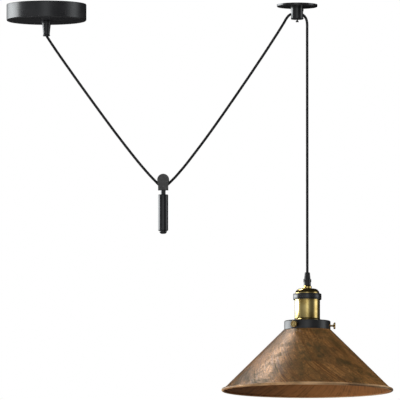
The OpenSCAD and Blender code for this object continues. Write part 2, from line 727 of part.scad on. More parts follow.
// A shallow cup, mouth down, drilled for the three thumb screws
module shade_gallery() color(satin_black) at_lamp() difference() {
    lathe(concat(
        [[skirt_r + slip, -gallery_top]],
        arc([gallery_r - 1.6, -gallery_top - 1.6], 1.6, 90, 0, 5),
        [[gallery_r, -gallery_foot], [gallery_inner, -gallery_foot], [gallery_inner, -gallery_top - gallery_t]],
        [[skirt_r + slip, -gallery_top - gallery_t]]
    ));
    for (turn = [0:120:240]) rotate(turn) translate([0, 0, -thumb_z])
        along_x(thumb_d / 2 + run, gallery_inner - 2, gallery_r + eps);
}

// A notched ring that screws up the lampholder's skirt and clamps the gallery
module gallery_ring_nut() color(black) at_lamp() translate([0, 0, -gallery_top - gallery_t - ring_nut_h])
    difference() {
        cylinder(r = ring_nut_r, h = ring_nut_h);
        translate([0, 0, -eps]) cylinder(r = skirt_r + slip, h = ring_nut_h + 2 * eps);
        for (turn = [0:30:330]) rotate(turn) translate([ring_nut_r + 0.8, 0, -eps])
            cylinder(r = 2, h = ring_nut_h + 2 * eps, $fn = 24);
    }

// The spun shade: neck with a turned-out lip, rounded shoulder, straight cone and rolled rim
module shade() color(copper) at_lamp() {
    t = shade_t;
    neck_top = shoulder_top - shade_neck_h;
    fold = [-sin(90 - shade_angle), -cos(90 - shade_angle)] * t;
    lathe(concat(
        [[shade_neck_r - t, -neck_top], [shade_neck_r + shade_lip, -neck_top]],
        [[shade_neck_r + shade_lip, -neck_top - t], [shade_neck_r, -neck_top - t]],
        [[shade_neck_r, -shoulder_top]],
        arc([shoulder_x, -shoulder_top - shoulder_r], shoulder_r, 90, 90 - shade_angle, 6),
        arc([rim_x, -rim_z], rim_r, 135, -202, 20),
        [[cone_start[0] + fold[0], -cone_start[1] + fold[1]]],
        [[shoulder_x, -shoulder_top - t], [shade_neck_r - t, -shoulder_top - t]]
    ));
}

// A brass thumb screw that points outwards along +X, its head milled round the edge
module thumb_screw(turn) color(brass) at_lamp() rotate(turn) translate([0, 0, -thumb_z]) {
    head_x = gallery_r + thumb_reach;
    flutes = 28;
    along_x(thumb_d / 2, thumb_tip, head_x + 0.1);
    along_x(thumb_d / 2 + 0.9, head_x - 1.2, head_x + 0.1);
    difference() {
        translate([head_x, 0, 0]) rotate([0, 90, 0]) linear_extrude(thumb_head_t) polygon([
            for (i = [0:2 * flutes - 1]) (thumb_head_d / 2 - 0.25 * (i % 2)) * [cos(180 * i / flutes), sin(180 * i / flutes)]
        ]);
        along_x(thumb_head_d / 2 - 1.6, head_x + thumb_head_t - 0.5, head_x + thumb_head_t + eps);
    }
}

module thumb_screw_1() thumb_screw(0);
module thumb_screw_2() thumb_screw(120);
module thumb_screw_3() thumb_screw(240);

canopy_bracket();
canopy_cup();
canopy_screws();
terminal_block();
terminal_screws();
earth_screw();
canopy_cord_grip();
grip_locknut();
cord_tail();
canopy_span();
pulley_plate();
plate_screw();
pulley_housing();
ceiling_axle();
axle_lock_screw();
ceiling_sheave();
pulley_span();
lamp_drop();
pulley_head();
travelling_axle();
travelling_sheave();
cord_bight();
neck_stud();
counterweight();
weight_cap();
lamp_cord_grip();
grip_side_screw();
entry_nipple();
nipple_locknut();
cord_end();
holder_dome();
clamp_ring();
holder_body();
socket_insert();
screw_shell();
centre_contact();
socket_screws();
shade_gallery();
gallery_ring_nut();
shade();
thumb_screw_1();
thumb_screw_2();
thumb_screw_3();
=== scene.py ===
from math import acos, atan, atan2, cos, degrees, hypot, pi, radians, sin, tan

import bpy
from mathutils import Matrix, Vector


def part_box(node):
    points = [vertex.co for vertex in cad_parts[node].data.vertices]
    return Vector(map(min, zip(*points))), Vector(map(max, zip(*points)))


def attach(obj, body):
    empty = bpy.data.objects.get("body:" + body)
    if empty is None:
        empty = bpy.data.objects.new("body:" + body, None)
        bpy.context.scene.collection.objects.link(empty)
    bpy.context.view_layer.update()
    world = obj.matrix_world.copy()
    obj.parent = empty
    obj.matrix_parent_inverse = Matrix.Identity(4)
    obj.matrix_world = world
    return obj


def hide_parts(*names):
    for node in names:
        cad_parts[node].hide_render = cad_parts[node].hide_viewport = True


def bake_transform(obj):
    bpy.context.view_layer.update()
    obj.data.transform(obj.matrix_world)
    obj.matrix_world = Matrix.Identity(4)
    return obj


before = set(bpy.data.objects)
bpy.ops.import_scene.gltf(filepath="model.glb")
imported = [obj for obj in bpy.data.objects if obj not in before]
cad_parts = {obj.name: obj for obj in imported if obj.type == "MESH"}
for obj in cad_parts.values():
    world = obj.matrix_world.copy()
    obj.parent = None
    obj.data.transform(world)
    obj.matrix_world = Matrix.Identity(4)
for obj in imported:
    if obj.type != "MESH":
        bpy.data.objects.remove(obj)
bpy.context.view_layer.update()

scene = bpy.context.scene
MM = 0.001
QUARTER = pi / 2

# ---- Camera ----
# A very long lens, far off and a little below, so that the view is nearly parallel, as in the
# photograph: its frame is 640 mm wide at the cords and looks up by five degrees.
frame_width = 0.640
aim = Vector((0.2459, 0, -0.3144))
look_up = radians(5.25)
camera_data = bpy.data.cameras.new("camera")
camera_data.lens = 1000
camera_data.sensor_width = 25
camera = bpy.data.objects.new("camera", camera_data)
scene.collection.objects.link(camera)
scene.camera = camera
distance = frame_width * camera_data.lens / camera_data.sensor_width
camera.location = aim - distance * Vector((0, cos(look_up), sin(look_up)))
camera.rotation_euler = (QUARTER + look_up, 0, 0)
camera_data.clip_end = 3 * distance

# ---- Cord ----
# One round flex in a tight black braid runs from the terminal block to the lampholder: down
# through the canopy's grip, under the travelling wheel, over the ceiling wheel and down again.
# It is swept along its route.
cord_d = 4.2 * MM
cord_bore = cord_d / 2 + 0.2 * MM
cord_sides = 24
cord_step = 0.65 * MM
braid_strands = 6
braid_pitch = 2.6 * MM
braid_relief = 0.09 * MM
yarns_in_strand = 14
yarns_in_pitch = 6
# The cord's middle in millimetres, as (x, z) at y = 0
cord_route = [
    (-16, -9), (-12, -9), (-8.4, -10), (-5.2, -12.1), (-2.6, -15), (-0.8, -18.6), (0, -22.8),
    (0, -29), (0, -36), (0, -44), (0, -48), (1, -51.8), (3.4, -55.6), (11.5, -68), (20, -80.5),
    (28.7, -93), (37.5, -105.5), (46.3, -118), (55.2, -130.5), (64.2, -143), (73.2, -155.5),
    (82.3, -168), (91.4, -180.5), (100.6, -193), (109.9, -205.5), (119.4, -218), (129, -230.5),
    (138.8, -243), (148.9, -255.5), (158.6, -266.9), (168.1, -277.5), (172.7, -282.3),
    (177, -286.7), (180.8, -290.4), (182.5, -291.9), (184.7, -292.9), (187, -293.2),
    (189.3, -292.9), (191.5, -291.9), (193.2, -290.4), (197.2, -286.7), (201.6, -282.3),
    (205.9, -277.9), (214.4, -268.2), (223.7, -257), (233.3, -244.5), (242.8, -232),
    (252.1, -219.5), (261.2, -207), (270.1, -194.5), (278.9, -182), (287.6, -169.5),
    (296.2, -157), (304.8, -144.5), (313.3, -132), (321.8, -119.5), (330.2, -107), (338.5, -94.5),
    (346.8, -82), (355, -69.5), (363, -57), (371, -44.5), (376.7, -35.3), (380.5, -29.1),
    (384.4, -22.3), (388.2, -17.8), (392.4, -15.2), (396.9, -14.1), (401.5, -13.8), (406, -14.4),
    (410, -16.2), (413.3, -19), (415.7, -22.7), (417, -27.2), (417.5, -32), (417.5, -38),
    (417.5, -90), (417.5, -160), (417.5, -230), (417.5, -300), (417.5, -370), (417.5, -424),
    (417.5, -436), (417.5, -441), (417.5, -449), (417.5, -459),
]
# Each stretch, with its first and last place in the route
cord_stretches = {
    "cord_tail": (0, 9), "canopy_span": (9, 32), "cord_bight": (32, 40),
    "pulley_span": (40, 74), "lamp_drop": (74, 82), "cord_end": (82, 85),
}


def slope_at(points, i):
    """The way a smooth line runs at one of its points, per metre."""
    if i == 0:
        return (points[1] - points[0]).normalized()
    if i == len(points) - 1:
        return (points[-1] - points[-2]).normalized()
    before, after = points[i] - points[i - 1], points[i + 1] - points[i]
    a, b = before.length, after.length
    return (before * (b / a) + after * (a / b)) / (a + b)


def smooth_line(points, step):
    """The points of a smooth line through the route, and where each of the route's own lies in it."""
    line, places = [], []
    for i in range(len(points) - 1):
        start, end = points[i], points[i + 1]
        length = (end - start).length
        m0, m1 = slope_at(points, i) * length, slope_at(points, i + 1) * length
        count = max(1, round(length / step))
        places.append(len(line))
        for k in range(count):
            t = k / count
            line.append(
                start * (2 * t**3 - 3 * t**2 + 1) + m0 * (t**3 - 2 * t**2 + t)
                + end * (3 * t**2 - 2 * t**3) + m1 * (t**3 - t**2)
            )
    places.append(len(line))
    line.append(points[-1])
    return line, places


def braided_tube(name, line, first, last, run):
    """A tube along part of a line in the plane y = 0, raised where the braid's strands lie on top."""
    vertices, heights = [], []
    for i in range(first, last + 1):
        if i > first:
            run += (line[i] - line[i - 1]).length
        way = (line[min(i + 1, len(line) - 1)] - line[max(i - 1, 0)]).normalized()
        side = Vector((-way.z, 0, way.x))
        along = 2 * pi * run / braid_pitch
        heights.append(run)
        for k in range(cord_sides):
            turn = 2 * pi * k / cord_sides
            weave = cos(braid_strands * turn + along) * cos(braid_strands * turn - along)
            radius = cord_d / 2 - braid_relief * (1 - weave) / 2
            across = side * cos(turn) + Vector((0, sin(turn), 0))
            vertices.append(line[i] + radius * across)
    steps = last - first
    faces = [list(range(cord_sides))[::-1], [steps * cord_sides + k for k in range(cord_sides)]]
    for i in range(steps):
        near, far = i * cord_sides, (i + 1) * cord_sides
        for k in range(cord_sides):
            beside = (k + 1) % cord_sides
            faces.append([near + k, near + beside, far + beside, far + k])
    mesh = bpy.data.meshes.new(name)
    mesh.from_pydata(vertices, [], faces)
    around = mesh.uv_layers.new(name="braid")
    for face in mesh.polygons[2:]:
        ring, k = divmod(face.index - 2, cord_sides)
        corners = [(k, ring), (k + 1, ring), (k + 1, ring + 1), (k, ring + 1)]
        for loop, (u, v) in zip(face.loop_indices, corners):
            around.data[loop].uv = (u / cord_sides, heights[v] / braid_pitch)
    mesh.shade_smooth()
    tube = bpy.data.objects.new(name, mesh)
    scene.collection.objects.link(tube)
    return tube, run


def add_node(tree, kind, links=None, **settings):
    """A shader node with its settings, and its sockets given values or linked to other sockets."""
    made = tree.nodes.new("ShaderNode" + kind)
    for key, value in settings.items():
        setattr(made, key, value)
    for socket, value in (links or {}).items():
        if isinstance(value, bpy.types.NodeSocket):
            tree.links.new(value, made.inputs[socket])
        else:
            made.inputs[socket].default_value = value
    return made


def calc(tree, operation, first, second=0.5):
    """The result of a sum on one or two values."""
    return add_node(tree, "Math", {0: first, 1: second}, operation=operation).outputs[0]


def remap(tree, value, start=0, end=1, low=0, high=1):
    """A value taken from one range to another and kept inside it."""
    ends = {"Value": value, "From Min": start, "From Max": end, "To Min": low, "To Max": high}
    return add_node(tree, "MapRange", ends).outputs["Result"]


def mix_colors(tree, factor, first, second):
    """Two colours, each a socket or three numbers, mixed by a value."""
    first, second = (c if isinstance(c, bpy.types.NodeSocket) else (*c, 1) for c in (first, second))
    mixed = add_node(tree, "Mix", {"Factor": factor, "A": first, "B": second}, data_type="RGBA")
    return mixed.outputs["Result"]


def noise(tree, vector, scale, detail=2, roughness=0.5):
    """Cloudy noise at a place."""
    values = {"Vector": vector, "Scale": scale, "Detail": detail, "Roughness": roughness}
    return add_node(tree, "TexNoise", values).outputs["Fac"]


def scaled(tree, vector, *scale):
    """A place with each of its three parts multiplied by its own number."""
    return add_node(tree, "Mapping", {"Vector": vector, "Scale": scale}).outputs["Vector"]


def relief(tree, height, strength, depth):
    """A normal that follows a height."""
    values = {"Height": height, "Strength": strength, "Distance": depth}
    return add_node(tree, "Bump", values).outputs["Normal"]


def new_material(name):
    """An empty material and its node tree."""
    material = bpy.data.materials.new(name)
    material.use_nodes = True
    material.node_tree.nodes.clear()
    return material, material.node_tree


def surface(tree, sockets):
    """The material's surface: a Principled shader with these sockets."""
    shader = add_node(tree, "BsdfPrincipled", sockets)
    add_node(tree, "OutputMaterial", {"Surface": shader.outputs["BSDF"]})


def braid_material():
    """Two sets of strands that cross, over the yarns they are plaited from."""
    material, tree = new_material("cord_braid")
    uv = add_node(tree, "UVMap", uv_map="braid").outputs["UV"]
    wave_scale = 0.3183
    left, right = (
        add_node(
            tree, "TexWave", {"Vector": scaled(tree, uv, around, 1, 1), "Scale": wave_scale},
            wave_type="BANDS", bands_direction="DIAGONAL", wave_profile="SIN",
        ).outputs["Fac"]
        for around in (braid_strands, -braid_strands)
    )
    yarn = noise(tree, scaled(tree, uv, braid_strands * yarns_in_strand, yarns_in_pitch, 1), 1)
    height = calc(tree, "ADD", yarn, calc(tree, "MULTIPLY", left, right))
    surface(tree, {
        "Sheen Weight": 0.03, "Sheen Roughness": 0.5, "IOR": 1.35,
        "Base Color": mix_colors(tree, yarn, (0.004, 0.004, 0.0045), (0.013, 0.013, 0.0135)),
        "Roughness": remap(tree, yarn, low=0.6, high=0.85),
        "Normal": relief(tree, height, 0.6, 0.12 * MM),
    })
    return material


route_points = [Vector((x * MM, 0, z * MM)) for x, z in cord_route]
cord_line, cord_places = smooth_line(route_points, cord_step)
cord_material = braid_material()
cords = {}
cord_run = 0.0
for stretch, (first, last) in cord_stretches.items():
    first, last = cord_places[first], cord_places[last]
    piece, next_run = braided_tube("braid_" + stretch, cord_line, first, last, cord_run)
    piece.data.materials.append(cord_material)
    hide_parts(stretch)
    cords[stretch] = (piece, next_run - cord_run, cord_line[first:last + 1])
    cord_run = next_run
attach(cords["cord_tail"][0], "ceiling")
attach(cords["cord_bight"][0], "weight")
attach(cords["cord_end"][0], "lamp")
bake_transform(cords["canopy_span"][0])
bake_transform(cords["pulley_span"][0])
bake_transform(cords["lamp_drop"][0])
for stretch in ("canopy_span", "pulley_span", "lamp_drop"):
    piece, length, path = cords[stretch]

# ---- Ceiling strap ----
# A folded strip of zinc-plated steel is screwed to the ceiling through its two slots. It holds
# the earth screw, and a nut of the same finish holds the canopy's cord grip.


def start_group(name, inputs):
    """A shader node group with these inputs, and their sockets inside it."""
    made = bpy.data.node_groups.new(name, "ShaderNodeTree")
    for label, kind, value in inputs:
        socket = made.interface.new_socket(name=label, in_out="INPUT", socket_type="NodeSocket" + kind)
        socket.default_value = value
    return made, made.nodes.new("NodeGroupInput").outputs


def finish_group(made, results):
    """Gives a node group its outputs, each a kind and a socket."""
    for label, (kind, value) in results.items():
        made.interface.new_socket(name=label, in_out="OUTPUT", socket_type="NodeSocket" + kind)
    out = made.nodes.new("NodeGroupOutput")
    for label, (kind, value) in results.items():
        made.links.new(value, out.inputs[label])
    return made


def object_place(tree):
    """The place of a point in its piece's own frame."""
    return add_node(tree, "TexCoord").outputs["Object"]


def finish_clouds():
    """Cloudy colour and gloss over a fine grain, for paint, plating and plastic."""
    made, given = start_group("surface_finish", [
        ("Color", "Color", (0.5, 0.5, 0.5, 1)), ("Worn Color", "Color", (0.6, 0.6, 0.6, 1)),
        ("Gloss Low", "Float", 0.2), ("Gloss High", "Float", 0.4), ("Cloud Scale", "Float", 60.0),
        ("Grain Scale", "Float", 900.0), ("Grain Height", "Float", 0.02),
    ])
    place = object_place(made)
    clouds = remap(made, noise(made, place, given["Cloud Scale"], 5, 0.6), 0.36, 0.66)
    grain = noise(made, place, given["Grain Scale"], 3)
    return finish_group(made, {
        "Color": ("Color", mix_colors(made, clouds, given["Color"], given["Worn Color"])),
        "Roughness": ("Float", remap(made, clouds, low=given["Gloss Low"], high=given["Gloss High"])),
        "Normal": ("Vector", relief(made, grain, given["Grain Height"], 0.2 * MM)),
    })


surface_finish = finish_clouds()


def finished_material(name, color, worn, gloss, clouds, grain, height, extra=()):
    """A material whose colour and gloss vary softly between two values each, over a fine grain."""
    material, tree = new_material(name)
    effect = add_node(tree, "Group", {
        "Color": (*color, 1), "Worn Color": (*worn, 1), "Gloss Low": gloss[0], "Gloss High": gloss[1],
        "Cloud Scale": clouds, "Grain Scale": grain, "Grain Height": height,
    }, node_tree=surface_finish).outputs
    surface(tree, {"Base Color": effect["Color"], "Roughness": effect["Roughness"],
                   "Normal": effect["Normal"], **dict(extra)})
    return material


def dress(material, *nodes):
    """Gives a material to CAD nodes that stay as they are."""
    for name in nodes:
        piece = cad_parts[name]
        if not piece.material_slots:
            piece.data.materials.append(material)
        for place in piece.material_slots:
            place.material = material


zinc = finished_material(
    "zinc_plate", (0.22, 0.225, 0.24), (0.33, 0.335, 0.35), (0.50, 0.64), 140, 1500, 0.15,
    {"Metallic": 0.9})
dress(zinc, "canopy_bracket", "grip_locknut")

# ---- Terminal block ----
# A moulded polyamide connector, screwed up against the strap, with two plated screws to each
# of its three poles. A brass screw beside it takes the earth wire.
polyamide = finished_material(
    "polyamide", (0.70, 0.68, 0.60), (0.78, 0.76, 0.69), (0.38, 0.5), 90, 1800, 0.1)
dress(polyamide, "terminal_block")
dress(zinc, "terminal_screws")

# ---- Canopy ----
# A cup pressed from steel sheet, satin black, closed against the ceiling by its plain rim and
# held by a headless screw in each side. It is turned from its half outline, its edges eased.
same_point = 0.001 * MM


def arc(x, z, radius, start, end, steps):
    """Points of an arc in a half outline, from one angle in degrees to another."""
    angles = [radians(start + (end - start) * i / steps) for i in range(steps + 1)]
    return [(x + radius * cos(a), z + radius * sin(a)) for a in angles]


def corner(x, z, radius, start, end, steps):
    """A rounded corner of a half outline, at an upper or a lower edge."""
    inwards = radius if min(start, end) < 0 else -radius
    return arc(x - radius, z + inwards, radius, start, end, steps)


def set_mode(mode):
    """Goes into or out of edit mode."""
    bpy.ops.object.mode_set(mode=mode)


def draw_outline(outline):
    """A line of edges in the plane y = 0 as a new object, which is left in edit mode."""
    bpy.ops.mesh.primitive_plane_add(size=MM, location=(0, 0, 0))
    set_mode("EDIT")
    bpy.ops.mesh.select_all(action="SELECT")
    bpy.ops.mesh.merge(type="CENTER")
    bpy.ops.transform.translate(value=(outline[0][0], 0, outline[0][1]))
    for (x0, z0), (x1, z1) in zip(outline, outline[1:]):
        bpy.ops.mesh.extrude_vertices_move(TRANSFORM_OT_translate={"value": (x1 - x0, 0, z1 - z0)})


def weld(reach=same_point):
    """In edit mode, makes one of the points that meet and turns the faces outwards."""
    bpy.ops.mesh.select_all(action="SELECT")
    bpy.ops.mesh.remove_doubles(threshold=reach)
    bpy.ops.mesh.normals_make_consistent(inside=False)
    bpy.ops.mesh.select_all(action="SELECT")


def spun(outline, axis_x, steps):
    """A new object, spun from a half outline, as (radius, height), about a vertical axis."""
    draw_outline([(axis_x + r, z) for r, z in outline])
    weld()
    bpy.ops.mesh.spin(steps=steps, angle=2 * pi, center=(axis_x, 0, 0), axis=(0, 0, 1))
    weld()
    set_mode("OBJECT")
    return bpy.context.object


def pick(piece):
    """Makes a piece the only one that the next step works on."""
    bpy.ops.object.select_all(action="DESELECT")
    piece.select_set(True)
    bpy.context.view_layer.objects.active = piece


def apply(piece, kind, **settings):
    """Changes a piece by a modifier with these settings."""
    pick(piece)
    change = piece.modifiers.new("change", kind)
    for key, value in settings.items():
        setattr(change, key, value)
    bpy.ops.object.modifier_apply(modifier=change.name)


def ease_edges(piece, width, segments=2, sharper_than=30):
    """Rounds the sharp edges of a finished mesh and shades the rest smooth."""
    pick(piece)
    limit = radians(sharper_than)
    bpy.ops.object.shade_smooth_by_angle(angle=limit)
    if width:
        apply(piece, "BEVEL", width=width, segments=segments, limit_method="ANGLE", angle_limit=limit,
              harden_normals=True)


def settle(piece, name, material):
    """Names a piece and its mesh, gives it its material and leaves its place in its mesh."""
    piece.name = name
    piece.data.name = name
    pick(piece)
    bpy.ops.object.transform_apply(location=True, rotation=True, scale=True)
    piece.data.materials.clear()
    piece.data.materials.append(material)


def turned(name, outline, axis_x, material, steps, ease):
    """A turned piece from its half outline, which is closed unless it starts on the axis."""
    closed = outline[0][0] > same_point
    piece = spun(outline + outline[:1] if closed else outline, axis_x, steps)
    ease_edges(piece, ease)
    settle(piece, name, material)
    return piece


def stand_in(piece, body, node):
    """The piece is shown for this CAD node and rides on its body."""
    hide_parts(node)
    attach(piece, body)


satin_black = finished_material(
    "satin_black", (0.009, 0.009, 0.010), (0.014, 0.014, 0.015), (0.25, 0.32), 35, 700, 0.02)
cup_low, cup_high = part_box("canopy_cup")
cup_r = cup_high.x
cup_z = cup_low.z
cup_wall = 1.0 * MM
cup_edge = 2.4 * MM
cup_hole = 5.05 * MM
rim_inset = 0.15 * MM
rim_band = 0.7 * MM
canopy = turned("canopy_shell", [
    (cup_hole, cup_z),
    *corner(cup_r, cup_z, cup_edge, -90, 0, 12),
    (cup_r, -rim_band - 0.2 * MM), (cup_r - rim_inset, -rim_band),
    (cup_r - rim_inset, 0), (cup_r - cup_wall, 0),
    *arc(cup_r - cup_edge, cup_z + cup_edge, cup_edge - cup_wall, 0, -90, 8),
    (cup_hole, cup_z + cup_wall),
], 0, satin_black, steps=160, ease=0.12 * MM)
stand_in(canopy, "ceiling", "canopy_cup")
gloss_black = finished_material(
    "gloss_black", (0.005, 0.005, 0.006), (0.009, 0.009, 0.010), (0.13, 0.22), 70, 1100, 0.03)
dress(gloss_black, "canopy_screws")

# ---- Canopy's cord grip ----
# A cone of moulded black plastic under the canopy: a collar, a tapering nose with a small lip,
# and a threaded stub that passes up to its nut. The cord comes out of its flared mouth.
black_plastic = finished_material(
    "black_plastic", (0.006, 0.006, 0.0065), (0.011, 0.011, 0.012), (0.28, 0.40), 120, 1600, 0.12)
grip_low, grip_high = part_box("canopy_cord_grip")
collar_r = grip_high.x
collar_foot = cup_z - 2.6 * MM
collar_ease = 0.6 * MM
waist_r = collar_r - 0.9 * MM
nose_r = 5.2 * MM
lip_r = 5.7 * MM
lip_round = 0.7 * MM
mouth_r = 3.9 * MM
mouth_depth = 6 * MM
stub_r = 4.9 * MM
canopy_grip = turned("canopy_cord_grip_cone", [
    (cord_bore, grip_high.z), (stub_r, grip_high.z), (stub_r, cup_z),
    (collar_r - collar_ease, cup_z), (collar_r, cup_z - collar_ease), (collar_r, collar_foot),
    (waist_r, collar_foot - 0.5 * MM), (waist_r, collar_foot - 0.8 * MM),
    (nose_r, grip_low.z + 2.6 * MM), (lip_r, grip_low.z + 1.6 * MM),
    *corner(lip_r, grip_low.z, lip_round, 0, -90, 4),
    (mouth_r, grip_low.z), (cord_bore, grip_low.z + mouth_depth),
], 0, black_plastic, steps=64, ease=0.15 * MM)
stand_in(canopy_grip, "ceiling", "canopy_cord_grip")

# ---- Ceiling plate ----
# A turned steel disc, glossy black, with a rounded lower edge. Two countersunk holes take the
# ceiling screws and a third, from above, the plated screw that holds the pulley's housing.


def span(node, axis):
    """The middle of a CAD node along an axis, and half its length there."""
    low, high = (getattr(corner, axis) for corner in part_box(node))
    return (low + high) / 2, (high - low) / 2


def combine(piece, other, operation):
    """Joins a closed mesh to a piece or takes it away, and removes the mesh itself."""
    apply(piece, "BOOLEAN", object=other, operation=operation, solver="EXACT")
    bpy.data.meshes.remove(other.data)


def cut(piece, *cutters):
    """Takes closed meshes away from a piece, one by one."""
    for cutter in cutters:
        combine(piece, cutter, "DIFFERENCE")


def peg(radius, height, centre, turn=(0, 0, 0), top_radius=None, sides=48):
    """A straight or tapered peg that is used as a cutter."""
    bpy.ops.mesh.primitive_cone_add(
        vertices=sides, radius1=radius, radius2=radius if top_radius is None else top_radius,
        depth=height, location=centre, rotation=turn)
    return bpy.context.object


plate_x, plate_r = span("pulley_plate", "x")
plate_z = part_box("pulley_plate")[0].z
plate_edge = 1.4 * MM
plate_hole_y = 22 * MM
plate_hole_r = 2.25 * MM
countersink = 2.2 * MM
recess_r = 4.4 * MM
recess_h = 2.4 * MM
post_screw_r = 2.05 * MM
through = 12 * MM
plate = turned("ceiling_plate", [
    (0, 0), (plate_r, 0),
    *corner(plate_r, plate_z, plate_edge, 0, -90, 8),
    (0, plate_z),
], plate_x, gloss_black, steps=128, ease=0)
for y in (-plate_hole_y, plate_hole_y):
    sink_at = (plate_x, y, plate_z + countersink / 2 - 0.1 * MM)
    cut(plate, peg(plate_hole_r, 3 * abs(plate_z), (plate_x, y, plate_z / 2)),
        peg(plate_hole_r + countersink, countersink, sink_at, top_radius=plate_hole_r))
cut(plate, peg(recess_r, recess_h, (plate_x, 0, 0)),
    peg(post_screw_r, through, (plate_x, 0, plate_z / 2)))
ease_edges(plate, 0.15 * MM)
stand_in(plate, "ceiling", "pulley_plate")
dress(zinc, "plate_screw")

# ---- Pulley housing ----
# A turned black post under the plate, cut through from side to side for the wheel and the
# cord. The wheel turns on a plated pin, which a screw from below locks; it is left standing.


def block(low, high):
    """A box between two corners that is used as a cutter."""
    size = Vector(high) - Vector(low)
    bpy.ops.mesh.primitive_cube_add(size=1, location=(Vector(low) + Vector(high)) / 2, scale=size)
    return bpy.context.object


along_y = (QUARTER, 0, 0)
post_low, post_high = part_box("pulley_housing")
post_r = span("pulley_housing", "x")[1]
post_edge = 1.6 * MM
axle_z, axle_r = span("ceiling_axle", "z")
wheel_r = span("ceiling_sheave", "z")[1]
wheel_gap = 0.3 * MM
pin_gap = 0.02 * MM
window_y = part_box("ceiling_sheave")[1].y + wheel_gap
window_top = axle_z + 7.8 * MM
window_foot = axle_z - 2.6 * MM
lock_low, lock_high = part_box("axle_lock_screw")
lock_y = span("axle_lock_screw", "y")[0]
lock_r = lock_high.x - plate_x
lock_shank = 1.4 * MM
lock_hole_r = 1.42 * MM
lock_slot = Vector((4 * MM, 0.35 * MM, 0.7 * MM))
housing = turned("pulley_post", [
    (0, post_high.z), (post_r, post_high.z),
    *corner(post_r, post_low.z, post_edge, 0, -90, 8),
    (0, post_low.z),
], plate_x, gloss_black, steps=96, ease=0)
cut(housing,
    block((plate_x - 2 * post_r, -window_y, window_foot), (plate_x + 2 * post_r, window_y, window_top)),
    peg(wheel_r + wheel_gap, 2 * window_y, (plate_x, 0, axle_z), along_y),
    peg(axle_r + pin_gap, 2 * post_r, (plate_x, post_r / 3, axle_z), along_y),
    peg(lock_hole_r, through, (plate_x, lock_y, post_low.z)))
ease_edges(housing, 0.2 * MM)
stand_in(housing, "ceiling", "pulley_housing")
lock_screw = turned("axle_lock_screw_head", [
    (0, lock_high.z), (lock_shank, lock_high.z), (lock_shank, lock_low.z + 2.2 * MM),
    (lock_r, lock_low.z + 0.5 * MM), (lock_r, lock_low.z), (0, lock_low.z),
], plate_x, gloss_black, steps=40, ease=0)
lock_screw.location.y = lock_y
settle(lock_screw, "axle_lock_screw_head", gloss_black)
cut(lock_screw, block((plate_x - lock_slot.x, lock_y - lock_slot.y, lock_low.z - MM),
                      (plate_x + lock_slot.x, lock_y + lock_slot.y, lock_low.z + lock_slot.z)))
ease_edges(lock_screw, 0.1 * MM)
stand_in(lock_screw, "ceiling", "axle_lock_screw")


def parts_from(tree, centre):
    """How far a point lies from a centre along each axis."""
    away = add_node(tree, "VectorMath", {0: object_place(tree), 1: centre}, operation="SUBTRACT")
    return add_node(tree, "SeparateXYZ", {"Vector": away.outputs["Vector"]}).outputs


def off_axis(tree, parts):
    """How far a point lies from the vertical axis."""
    flat = add_node(tree, "CombineXYZ", {"X": parts["X"], "Y": parts["Y"]}).outputs[0]
    return add_node(tree, "VectorMath", {0: flat}, operation="LENGTH").outputs["Value"]


def turning_group():
    """Fine rings, as a lathe leaves them, round a vertical axis through a centre."""
    made, given = start_group("turning_marks", [
        ("Centre", "Vector", (0.0, 0.0, 0.0)), ("Ring Scale", "Float", 2500.0), ("Depth", "Float", 0.1),
    ])
    parts = parts_from(made, given["Centre"])
    wander = 0.03
    across = calc(made, "ADD", off_axis(made, parts), calc(made, "MULTIPLY", parts["X"], wander))
    up = calc(made, "ADD", parts["Z"], calc(made, "MULTIPLY", parts["Y"], wander))
    rings = add_node(made, "CombineXYZ", {"X": across, "Y": up}).outputs[0]
    marks = noise(made, rings, given["Ring Scale"], 3, 0.7)
    return finish_group(made, {
        "Mask": ("Float", marks), "Normal": ("Vector", relief(made, marks, given["Depth"], 0.05 * MM)),
    })


turning_marks = turning_group()


def turned_metal(name, centre, bright, dull, gloss, rings=2500, depth=0.25):
    """Metal off the lathe: fine rings about its axis, with dull clouds where it has aged."""
    material, tree = new_material(name)
    marks = add_node(tree, "Group", {"Centre": centre, "Ring Scale": rings, "Depth": depth},
                     node_tree=turning_marks).outputs
    patina_scale = 70
    age = remap(tree, noise(tree, object_place(tree), patina_scale, 6, 0.65), 0.42, 0.72)
    streaks = remap(tree, marks["Mask"], low=-0.06, high=0.06)
    surface(tree, {
        "Metallic": 1.0, "Base Color": mix_colors(tree, age, bright, dull), "Normal": marks["Normal"],
        "Roughness": calc(tree, "ADD", remap(tree, age, low=gloss[0], high=gloss[1]), streaks),
    })
    return material


wheel_finish = ((0.52, 0.53, 0.55), (0.34, 0.34, 0.34), (0.22, 0.4))
ceiling_wheel_metal = turned_metal("ceiling_wheel_steel", (plate_x, 0, axle_z), *wheel_finish)
dress(ceiling_wheel_metal, "ceiling_axle", "ceiling_sheave")

